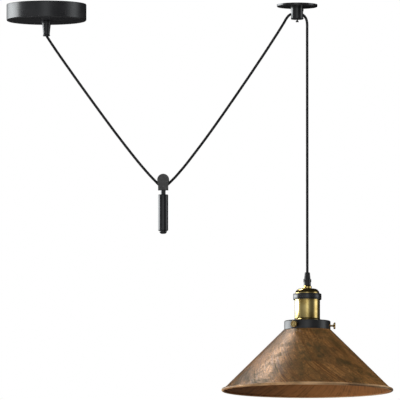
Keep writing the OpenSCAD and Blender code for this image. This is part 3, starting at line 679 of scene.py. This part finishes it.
# ---- Travelling pulley ----
# A cast head, powder-coated dark grey, round on top and straight below, with a slot through
# it for the wheel and the cord. Its outline is drawn, filled, thickened and then slotted.
head_low, head_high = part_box("pulley_head")
head_x, head_r = span("pulley_head", "x")
pin_z, pin_r = span("travelling_axle", "z")
head_mid = head_high.z - head_r
head_foot_half = 8.2 * MM
slot_r = span("travelling_sheave", "z")[1] + 1.2 * MM
slot_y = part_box("travelling_sheave")[1].y + wheel_gap
slot_foot = pin_z - 10.6 * MM
slot_top = pin_z + slot_r - 3 * MM
stud_hole_r = 2.52 * MM
grey_coat = finished_material(
    "grey_powder_coat", (0.030, 0.030, 0.030), (0.046, 0.046, 0.046), (0.5, 0.62), 160, 1300, 0.5,
    {"IOR": 1.45})
foot_turn = degrees(acos(head_foot_half / head_r))
head_outline = [
    (head_foot_half, head_low.z),
    *arc(0, head_mid, head_r, -foot_turn, 180 + foot_turn, 40),
    (-head_foot_half, head_low.z),
]
draw_outline([(head_x + x, z) for x, z in head_outline + head_outline[:1]])
weld()
bpy.ops.transform.translate(value=(0, head_low.y, 0))
bpy.ops.mesh.edge_face_add()
bpy.ops.mesh.extrude_region_move(TRANSFORM_OT_translate={"value": (0, head_high.y - head_low.y, 0)})
weld()
set_mode("OBJECT")
head = bpy.context.object
settle(head, "pulley_head_casting", grey_coat)
cut(head,
    block((head_x - 2 * head_r, -slot_y, slot_foot), (head_x + 2 * head_r, slot_y, slot_top)),
    peg(slot_r, 2 * slot_y, (head_x, 0, pin_z), along_y, sides=64),
    peg(pin_r + pin_gap, 16 * MM, (head_x, 3 * MM, pin_z), along_y),
    peg(stud_hole_r, 6 * MM, (head_x, 0, head_low.z)))
ease_edges(head, 0.7 * MM, segments=3, sharper_than=40)
stand_in(head, "weight", "pulley_head")
big_wheel_metal = turned_metal("travelling_wheel_steel", (head_x, 0, pin_z), *wheel_finish)
dress(big_wheel_metal, "travelling_axle", "travelling_sheave")

# ---- Weight ----
# A steel bar in gloss black, screwed to a neck under the head and closed by a small rounded
# cap. The bar has a fine grain in its paint, and there is a shadow gap at each joint.
neck_low, neck_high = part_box("neck_stud")
bar_low, bar_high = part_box("counterweight")
tip_low, tip_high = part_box("weight_cap")
neck_r = span("neck_stud", "x")[1]
bar_r = span("counterweight", "x")[1]
tip_r = span("weight_cap", "x")[1]
bar_top_round = 0.7 * MM
bar_foot_round = 1.2 * MM
tip_bevel = 0.4 * MM
tip_round = 3.6 * MM
stud_r = 2.5 * MM
neck = turned("neck", [
    (0, neck_high.z), (stud_r, neck_high.z), (stud_r, head_low.z), (neck_r, head_low.z),
    (neck_r, bar_high.z), (stud_r, bar_high.z), (stud_r, neck_low.z), (0, neck_low.z),
], head_x, gloss_black, steps=48, ease=0.15 * MM)
stand_in(neck, "weight", "neck_stud")
bar = turned("weight_bar", [
    (stud_r, bar_high.z - 10 * MM), (stud_r, bar_high.z),
    *corner(bar_r, bar_high.z, bar_top_round, 90, 0, 5),
    *corner(bar_r, bar_low.z, bar_foot_round, 0, -90, 6),
    (stud_r, bar_low.z), (stud_r, bar_low.z + 7 * MM),
], head_x, gloss_black, steps=96, ease=0)
stand_in(bar, "weight", "counterweight")
tip = turned("weight_tip", [
    (0, tip_high.z), (stud_r, tip_high.z), (stud_r, bar_low.z),
    (tip_r - tip_bevel, bar_low.z), (tip_r, bar_low.z - tip_bevel),
    *corner(tip_r, tip_low.z, tip_round, 0, -90, 8),
    (0, tip_low.z),
], head_x, gloss_black, steps=64, ease=0.12 * MM)
stand_in(tip, "weight", "weight_cap")

# ---- Lampholder's cord grip ----
# A small grip of moulded black plastic that widens downwards, with a boss across it for the
# plastic screw that pinches the cord. It is screwed to the brass tube below it.
lamp_x = cord_route[-1][0] * MM
hold_low, hold_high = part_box("lamp_cord_grip")
foot_r = 5.7 * MM
foot_ease = 0.3 * MM
foot_top = hold_low.z + 5.5 * MM
seat_r = 4.95 * MM
seat_top = hold_low.z + 6.5 * MM
step_r = 5.5 * MM
step_top = hold_low.z + 8 * MM
throat_r = 4.9 * MM
crown_r = 4.2 * MM
crown_round = 1.2 * MM
along_x = (0, QUARTER, 0)
boss_z = span("grip_side_screw", "z")[0]
boss_r = 2.7 * MM
boss_length = 11.7 * MM
boss_hole_r = 1.52 * MM
lamp_grip = turned("lamp_cord_grip_body", [
    (seat_r, hold_low.z), (foot_r - foot_ease, hold_low.z), (foot_r, hold_low.z + foot_ease),
    (foot_r, foot_top), (step_r, seat_top), (step_r, step_top), (throat_r, hold_high.z - 8 * MM),
    *corner(crown_r, hold_high.z, crown_round, 0, 90, 6),
    (cord_bore, hold_high.z - 3 * MM), (cord_bore, seat_top), (seat_r, seat_top),
], lamp_x, black_plastic, steps=64, ease=0.15 * MM)
boss = peg(boss_r, boss_length, (lamp_x - 0.25 * MM, 0, boss_z), along_x, sides=40)
combine(lamp_grip, boss, "UNION")
cut(lamp_grip,
    peg(cord_bore, 26 * MM, (lamp_x, 0, hold_high.z - 2 * MM)),
    peg(boss_hole_r, 7 * MM, (lamp_x + 3.5 * MM, 0, boss_z), along_x))
ease_edges(lamp_grip, 0)
stand_in(lamp_grip, "lamp", "lamp_cord_grip")
dress(black_plastic, "grip_side_screw")

# ---- Brass cap of the lampholder ----
# A turned brass nut on a hollow threaded tube, over a domed cap spun from brass sheet. The
# tube and a plated locknut inside the cap carry the whole lamp.
brass = turned_metal("aged_brass", (lamp_x, 0, 0), (0.76, 0.58, 0.23), (0.48, 0.31, 0.08), (0.13, 0.26),
                     rings=1800, depth=0.08)
nut_low, nut_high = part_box("entry_nipple")
nut_r = nut_high.x - lamp_x
nut_bevel = 1.3 * MM
nut_foot = 0.7 * MM
cap_low, cap_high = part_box("holder_dome")
cap_top = cap_high.z
tube_r = 4.9 * MM
nut_top = hold_low.z
nipple = turned("brass_nipple", [
    (cord_bore, nut_low.z), (tube_r, nut_low.z), (tube_r, cap_top), (nut_r - nut_foot, cap_top),
    (nut_r, cap_top + nut_foot), (nut_r, nut_top - nut_bevel), (nut_r - nut_bevel, nut_top),
    (tube_r, nut_top), (tube_r, nut_high.z), (cord_bore, nut_high.z),
], lamp_x, brass, steps=64, ease=0.2 * MM)
stand_in(nipple, "lamp", "entry_nipple")
dress(zinc, "nipple_locknut")
ring_low, ring_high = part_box("clamp_ring")
dome_r = 19.5 * MM
dome_h = cap_top - ring_high.z
dome_hole = tube_r + pin_gap
brass_t = 0.8 * MM
spigot_r = 18.15 * MM
spigot_wall = spigot_r - brass_t
dome_centre = dome_r - dome_h
inner_turn = degrees(acos((spigot_wall - dome_centre) / (dome_h - brass_t)))
dome = turned("brass_dome", [
    (dome_hole, cap_top),
    *arc(dome_centre, ring_high.z, dome_h, 90, 0, 16),
    (spigot_r, ring_high.z), (spigot_r, cap_low.z), (spigot_wall, cap_low.z),
    *arc(dome_centre, ring_high.z, dome_h - brass_t, inner_turn, 90, 12),
    (dome_hole, cap_top - brass_t),
], lamp_x, brass, steps=128, ease=0.12 * MM)
stand_in(dome, "lamp", "holder_dome")

# ---- Clamping ring ----
# A polished ring of black phenolic between the brass cap and the brass body. It hides the
# screws that join the two, and has a fine groove near each edge.
bakelite = finished_material(
    "black_phenolic", (0.009, 0.009, 0.0095), (0.014, 0.014, 0.0145), (0.16, 0.27), 90, 900, 0.05,
    {"IOR": 1.55})
clamp_r = ring_high.x - lamp_x
clamp_edge = 1.1 * MM
clamp_bore = spigot_r + pin_gap
groove_from_edge = 2.2 * MM


def groove_at(radius, z, depth=0.35 * MM):
    """A shallow V round a turned piece, met on the way down."""
    return [(radius, z + depth), (radius - depth, z), (radius, z - depth)]


clamp = turned("phenolic_ring", [
    (clamp_bore, ring_high.z),
    *corner(clamp_r, ring_high.z, clamp_edge, 90, 0, 6),
    *groove_at(clamp_r, ring_high.z - groove_from_edge),
    *groove_at(clamp_r, ring_low.z + groove_from_edge),
    *corner(clamp_r, ring_low.z, clamp_edge, 0, -90, 6),
    (clamp_bore, ring_low.z),
], lamp_x, bakelite, steps=128, ease=0)
stand_in(clamp, "lamp", "clamp_ring")

# ---- Brass body and what it holds ----
# A spun brass body with a bead at its foot and a threaded skirt below, round a glazed ceramic
# insert. The lamp screws into a thin rolled shell and meets a sprung tongue at its end.
body_low, body_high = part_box("holder_body")
gallery_low, gallery_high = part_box("shade_gallery")
body_r = 20.3 * MM
bead_r = body_high.x - lamp_x
bead_round = 1.2 * MM
body_foot = gallery_high.z + 0.1 * MM
bead_rise = 0.25 * MM
score_z = ring_low.z - 1.5 * MM
score_half = 0.3 * MM
skirt_r = 19.0 * MM
skirt_wall = skirt_r - 1 * MM
body = turned("brass_body", [
    (spigot_wall, body_high.z), (spigot_r, body_high.z), (spigot_r, ring_low.z), (body_r, ring_low.z),
    (body_r, score_z + score_half), (body_r - bead_rise, score_z), (body_r, score_z - score_half),
    (body_r, body_foot + 4.0 * MM), (body_r + bead_rise, body_foot + 3.1 * MM),
    *corner(bead_r, body_foot, bead_round, 70, -90, 10),
    (skirt_r, body_foot), (skirt_r, body_low.z), (skirt_wall, body_low.z),
    (skirt_wall, body_foot - 1 * MM), (body_r - brass_t, body_foot - 2 * MM),
    (body_r - brass_t, ring_low.z - brass_t), (spigot_wall, ring_low.z - brass_t),
], lamp_x, brass, steps=160, ease=0.1 * MM)
stand_in(body, "lamp", "holder_body")
glaze = finished_material(
    "glazed_ceramic", (0.78, 0.75, 0.66), (0.84, 0.82, 0.75), (0.12, 0.22), 110, 500, 0.08,
    {"Coat Weight": 0.4})
dress(glaze, "socket_insert")
shell_low, shell_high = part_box("screw_shell")
shell_r = shell_high.x - lamp_x - 0.1 * MM
thread_pitch = 3.6 * MM
thread_depth = 1.0 * MM
thread_turns = 6
thread_steps = 12
sheet_t = 0.4 * MM
same_in_thread = 0.01 * MM
draw_outline([
    (shell_r - thread_depth * (1 - cos(2 * pi * k / thread_steps)) / 2,
     shell_low.z + thread_pitch * k / thread_steps)
    for k in range(thread_steps + 1)
])
set_mode("OBJECT")
thread = bpy.context.object
apply(thread, "SCREW", axis="Z", angle=2 * pi, screw_offset=thread_pitch, iterations=thread_turns,
      steps=48, render_steps=48, use_merge_vertices=True, merge_threshold=same_in_thread)
set_mode("EDIT")
weld(same_in_thread)
set_mode("OBJECT")
thread.location.x = lamp_x
apply(thread, "SOLIDIFY", thickness=sheet_t, offset=-1)
bpy.ops.object.shade_smooth_by_angle(angle=radians(40))
settle(thread, "rolled_thread", brass)
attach(thread, "lamp")
dress(brass, "screw_shell", "centre_contact", "socket_screws", "earth_screw")

# ---- Gallery ----
# A shallow cup, pressed from steel and painted satin black, mouth down over the shade's neck.
# It is clamped to the brass skirt by a notched phenolic ring and drilled for three screws.
gallery_r = gallery_high.x - lamp_x
gallery_t = 1.2 * MM
gallery_edge = 1.8 * MM
gallery_bore = skirt_r + pin_gap
thumb_z, thumb_r = span("thumb_screw_1", "z")
thumb_hole_r = 1.55 * MM
gallery = turned("gallery_cup", [
    (gallery_bore, gallery_high.z),
    *corner(gallery_r, gallery_high.z, gallery_edge, 90, 0, 8),
    (gallery_r, gallery_low.z), (gallery_r - gallery_t, gallery_low.z),
    *arc(gallery_r - gallery_edge, gallery_high.z - gallery_edge, gallery_edge - gallery_t, 0, 90, 5),
    (gallery_bore, gallery_high.z - gallery_t),
], lamp_x, satin_black, steps=160, ease=0.15 * MM)
thumb_turns = [radians(turn) for turn in (0, 120, 240)]
for turn in thumb_turns:
    at = (lamp_x + gallery_r * cos(turn), gallery_r * sin(turn), thumb_z)
    cut(gallery, peg(thumb_hole_r, 6 * MM, at, (0, QUARTER, turn), sides=32))
ease_edges(gallery, 0)
stand_in(gallery, "lamp", "shade_gallery")
dress(bakelite, "gallery_ring_nut")

# ---- Shade ----
# A cone spun from steel sheet: a neck with a turned-out lip, a rounded shoulder, a straight
# side and a rim rolled outwards. Outside and in it is brushed copper that has browned, with
# olive patches and rubbed, slanting streaks.
shade_low, shade_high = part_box("shade")
shade_r = span("shade", "x")[1]
shade_t = 1.0 * MM
rim_r = 2.4 * MM
rim_z = shade_low.z + rim_r
rim_x = shade_r - rim_r
neck_out = 33.0 * MM
neck_in = neck_out - shade_t
lip_out = neck_out + 1.5 * MM
shoulder_r = 3.0 * MM
shoulder_z = gallery_low.z
shoulder_x = gallery_r - 0.7 * MM
cone_turn = degrees(atan(1.017))
cone_side = Vector((cos(radians(cone_turn)), sin(radians(cone_turn))))
inner_start = (shoulder_x + (shoulder_r - shade_t) * cone_side.x,
               shoulder_z - shoulder_r + (shoulder_r - shade_t) * cone_side.y)
shade_outline = [
    (neck_in, shade_high.z), (lip_out, shade_high.z), (lip_out, shade_high.z - shade_t),
    (neck_out, shade_high.z - shade_t), (neck_out, shoulder_z),
    *arc(shoulder_x, shoulder_z - shoulder_r, shoulder_r, 90, cone_turn, 8),
    *arc(rim_x, rim_z, rim_r, 128, -202, 30),
    inner_start, (shoulder_x, shoulder_z - shade_t), (neck_in, shoulder_z - shade_t),
]


def copper_material():
    """Brushed copper over steel: browned and flecked outside, smooth and dull inside."""
    material, tree = new_material("aged_copper")
    place = object_place(tree)
    parts = parts_from(tree, (lamp_x, 0, shade_high.z))

    def value(*terms):
        return calc(tree, *terms)

    def mixed(*terms):
        return mix_colors(tree, *terms)

    # The brush ran aslant, so its marks are read off a helix that winds round as it goes down
    brush_twist = 9.0
    angle = value("ARCTAN2", parts["Y"], parts["X"])
    helix = value("ADD", angle, value("MULTIPLY", parts["Z"], brush_twist))
    run = add_node(tree, "CombineXYZ", {
        "X": value("COSINE", helix), "Y": value("SINE", helix), "Z": parts["Z"]}).outputs[0]
    brushed = noise(tree, scaled(tree, run, 46, 46, 30), 1, 4, 0.6)
    patches = noise(tree, place, 34, 7, 0.74)
    tone = noise(tree, place, 11, 3, 0.6)
    pits = noise(tree, place, 520, 4, 0.7)
    olive = remap(tree, value("ADD", patches, brushed), 0.97, 1.14, high=0.92)
    copper = mixed(remap(tree, brushed, 0.40, 0.60), (0.098, 0.041, 0.011), (0.400, 0.190, 0.060))
    brown = mixed(olive, copper, (0.048, 0.038, 0.013))
    cloudy = remap(tree, tone, 0.35, 0.65, 0.85, 1.15)
    grain = remap(tree, pits, 0.36, 0.62, 0.50, 1.28)
    shading = value("MULTIPLY", cloudy, grain)
    grained = add_node(tree, "VectorMath", {0: brown, "Scale": shading}, operation="SCALE")
    # Small dark flecks, drawn out along the brush marks, with no gloss of their own
    flecks = noise(tree, scaled(tree, run, 58, 58, 290), 1, 5, 0.72)
    fleck = remap(tree, flecks, 0.50, 0.68, high=0.75)
    outside = mixed(fleck, grained.outputs["Vector"], (0.040, 0.026, 0.010))
    # Under the shade the copper is smoother, redder and dull; along the rolled rim a painted highlight
    # makes it pale
    radius = off_axis(tree, parts)
    slope = tan(radians(90 - cone_turn))
    past_wall = value("ADD", radius, value("MULTIPLY", parts["Z"], 1 / slope))
    wall_middle = inner_start[0] + (inner_start[1] - shade_high.z) / slope + 0.7 * shade_t
    inside = value("LESS_THAN", past_wall, wall_middle)
    calm = mixed(patches, (0.185, 0.072, 0.023), (0.325, 0.138, 0.048))
    spot_strength = 0.6
    lining = mixed(value("MULTIPLY", olive, spot_strength), calm, (0.053, 0.027, 0.010))
    # A painted highlight: a pale warm line along the rolled rim, stronger where the tone clouds are
    # light
    at_rim = remap(tree, radius, shade_r - 4.6 * MM, shade_r - 3.9 * MM)
    rim_highlight = value("MULTIPLY", at_rim, remap(tree, tone, 0.40, 0.58, 0.15, 0.9))
    dulled = value("MAXIMUM", value("MAXIMUM", olive, fleck), inside)
    surface(tree, {
        "IOR": 1.52,
        "Base Color": mixed(rim_highlight, mixed(inside, outside, lining), (0.62, 0.40, 0.22)),
        "Metallic": remap(tree, inside, low=0.30, high=0.25),
        "Roughness": remap(tree, dulled, 0, 0.9, 0.32, 0.50),
        "Specular IOR Level": remap(tree, inside, low=0.5, high=0.15),
        "Normal": relief(tree, value("SUBTRACT", pits, flecks), 0.7, 0.15 * MM),
    })
    return material


shade = turned("copper_shade", shade_outline, lamp_x, copper_material(), steps=256, ease=0.1 * MM)
stand_in(shade, "lamp", "shade")

# ---- Thumb screws ----
# Three brass screws with milled, dished heads pass through the gallery under the lip of the
# shade's neck. Each is spun standing up, its flutes pressed in, and laid along its own hole.
screw_low, screw_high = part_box("thumb_screw_1")
thumb_t = 3.2 * MM
thumb_edge = 0.5 * MM
thumb_rim = 1.5 * MM
dish_r = thumb_r - 2.0 * MM
shank_r = 1.5 * MM
shank_tip = 0.3 * MM
shank_from = screw_low.x - lamp_x
thumb_collar_r = 2.0 * MM
head_back = screw_high.x - lamp_x - thumb_t - shank_from
head_front = head_back + thumb_t
flutes = 28
flute_depth = 0.3 * MM
thumb_brass = turned_metal(
    "thumb_brass", (lamp_x, 0, thumb_z), (0.80, 0.58, 0.24), (0.56, 0.38, 0.13), (0.34, 0.46))


def thumb_screw():
    """A screw that stands on its tip: a plain shank, a collar and a milled, dished head."""
    made = spun([
        (0, 0), (shank_r - shank_tip, 0), (shank_r, shank_tip), (shank_r, head_back - 1.4 * MM),
        (thumb_collar_r, head_back - 1.0 * MM), (thumb_collar_r, head_back),
        (thumb_r - thumb_edge, head_back), (thumb_r, head_back + thumb_edge),
        (thumb_r, head_front - thumb_edge), (thumb_r - thumb_edge, head_front),
        (thumb_r - thumb_rim, head_front), (dish_r, head_front - 0.6 * MM), (0, head_front - 0.45 * MM),
    ], 0, 2 * flutes)
    set_mode("EDIT")
    bpy.ops.mesh.select_all(action="DESELECT")
    set_mode("OBJECT")
    for vertex in made.data.vertices:
        turn = round(atan2(vertex.co.y, vertex.co.x) / pi * flutes)
        vertex.select = hypot(vertex.co.x, vertex.co.y) > thumb_r - 0.1 * MM and turn % 2 == 1
    set_mode("EDIT")
    shrink = 1 - flute_depth / thumb_r
    bpy.ops.transform.resize(value=(shrink, shrink, 1), center_override=(0, 0, 0))
    set_mode("OBJECT")
    bpy.ops.object.shade_smooth_by_angle(angle=radians(35))
    return made


for number, turn in enumerate(thumb_turns, 1):
    screw = thumb_screw()
    screw.rotation_euler = (0, QUARTER, turn)
    screw.location = (lamp_x + shank_from * cos(turn), shank_from * sin(turn), thumb_z)
    settle(screw, f"brass_thumb_screw_{number}", thumb_brass)
    stand_in(screw, f"thumb_{number}", f"thumb_screw_{number}")

# ---- Studio ----
# A pale floor far below, two soft boxes high behind on the left, and three dull fills that
# gloss doesn't see. The background is white, but gloss sees a ring of soft light round the
# lamp instead: a strong, low strip on the left, and weaker ones in front and on the right.
floor_z = -2.3
floor_glow = 0.86
bpy.ops.mesh.primitive_circle_add(
    vertices=96, radius=4.5, fill_type="NGON", location=(0.25, 0, floor_z))
floor = bpy.context.object
floor.name = "floor"
floor_material, tree = new_material("floor_paint")
to_camera = add_node(tree, "LightPath").outputs["Is Camera Ray"]
paint = add_node(tree, "BsdfPrincipled", {
    "Base Color": mix_colors(tree, noise(tree, object_place(tree), 3), (0.50,) * 3, (0.54,) * 3),
    "Roughness": 0.7, "Emission Color": (1, 1, 1, 1),
    "Emission Strength": calc(tree, "MULTIPLY", to_camera, floor_glow),
})
# Seen from below, the floor lets the view through to the lamp
clear = add_node(tree, "BsdfTransparent")
one_sided = add_node(tree, "MixShader", {
    0: add_node(tree, "NewGeometry").outputs["Backfacing"], 1: paint.outputs[0], 2: clear.outputs[0]})
add_node(tree, "OutputMaterial", {"Surface": one_sided.outputs[0]})
floor.data.materials.append(floor_material)


def soft_light(name, azimuth, elevation, reach, size, radiance, color=(1, 1, 1), in_gloss=False):
    """A soft box that faces the lamp, by its direction from it; azimuth 0 is the camera's side."""
    data = bpy.data.lights.new(name, "AREA")
    data.shape = "RECTANGLE"
    data.size, data.size_y = size
    data.energy = radiance * pi * size[0] * size[1]
    data.color = color
    light = bpy.data.objects.new(name, data)
    a, e = radians(azimuth), radians(elevation)
    away = Vector((sin(a) * cos(e), -cos(a) * cos(e), sin(e)))
    light.location = aim + reach * away
    light.rotation_euler = away.to_track_quat("Z", "Y").to_euler()
    light.visible_camera = False
    light.visible_glossy = in_gloss
    scene.collection.objects.link(light)


soft_light("high_box", -138, 53, 2.0, (0.55, 0.7), 11.0, (1.0, 0.96, 0.89), in_gloss=True)
soft_light("edge_box", -158, 30, 2.0, (0.35, 0.4), 3.0, in_gloss=True)
soft_light("front_fill", 45, 50, 1.5, (1.0, 1.0), 1.7)
soft_light("right_fill", 70, 38, 1.5, (0.9, 1.0), 8.5)
soft_light("low_fill", -60, -24, 1.5, (0.9, 0.9), 15.0)

world = bpy.data.worlds.new("studio")
scene.world = world
world.use_nodes = True
sky = world.node_tree
sky.nodes.clear()
way = add_node(sky, "SeparateXYZ", {"Vector": add_node(sky, "TexCoord").outputs["Generated"]}).outputs
azimuth = calc(sky, "ARCTAN2", way["X"], calc(sky, "MULTIPLY", way["Y"], -1.0))
# What gloss sees round the lamp, by azimuth in degrees
around_lamp = [
    (-180, 0.001), (-168, 0.002), (-161, 0.05), (-150, 0.17), (-138, 0.42), (-125, 0.72), (-110, 1),
    (-98, 1), (-91, 0.9), (-85, 0.1), (-64, 0.03), (-44, 0.035), (-25, 0.05), (-14, 0.07),
    (-6, 0.12), (5, 0.12), (14, 0.04), (30, 0.015), (49, 0.013), (60, 0.02), (70, 0.09), (80, 0.19),
    (93, 0.19), (101, 0.1), (108, 0.02), (126, 0.003), (150, 0.001), (180, 0.001),
]
ring_light = add_node(sky, "ValToRGB", {"Fac": remap(sky, azimuth, -pi, pi)})
stops = ring_light.color_ramp.elements
while len(stops) < len(around_lamp):
    stops.new(1.0)
for stop, (angle, value) in zip(stops, around_lamp):
    stop.position = (angle + 180) / 360
    stop.color = (0.94 * value, 0.98 * value, value, 1)
# The strong strip on the left is low, so that it doesn't glare on what faces the ceiling
left_end = radians(-80)
on_left = calc(sky, "LESS_THAN", azimuth, left_end)


def edge(elsewhere, left):
    """A height at which the strips begin or end, which differs on the left."""
    return remap(sky, on_left, low=elsewhere, high=left)


below_top = remap(sky, way["Z"], edge(0.50, 0.24), edge(0.22, 0.18))
above_foot = remap(sky, way["Z"], edge(-0.75, -0.13), edge(-0.35, -0.01))
in_strip = calc(sky, "MULTIPLY", below_top, above_foot)
path = add_node(sky, "LightPath").outputs
to_view = calc(sky, "MAXIMUM", path["Is Camera Ray"], path["Is Transmission Ray"])
backdrop, strips, ambient = (
    add_node(sky, "Background", {"Color": color, "Strength": strength}).outputs[0]
    for color, strength in (
        ((1, 1, 1, 1), 1.0),
        (mix_colors(sky, in_strip, (0.002, 0.002, 0.002), ring_light.outputs["Color"]), 9.0),
        ((1, 1, 1, 1), 0.13),
    )
)
around = add_node(sky, "MixShader", {0: path["Is Glossy Ray"], 1: ambient, 2: strips})
seen = add_node(sky, "MixShader", {0: to_view, 1: around.outputs[0], 2: backdrop})
add_node(sky, "OutputWorld", {"Surface": seen.outputs[0]})
scene.view_settings.view_transform = "Standard"
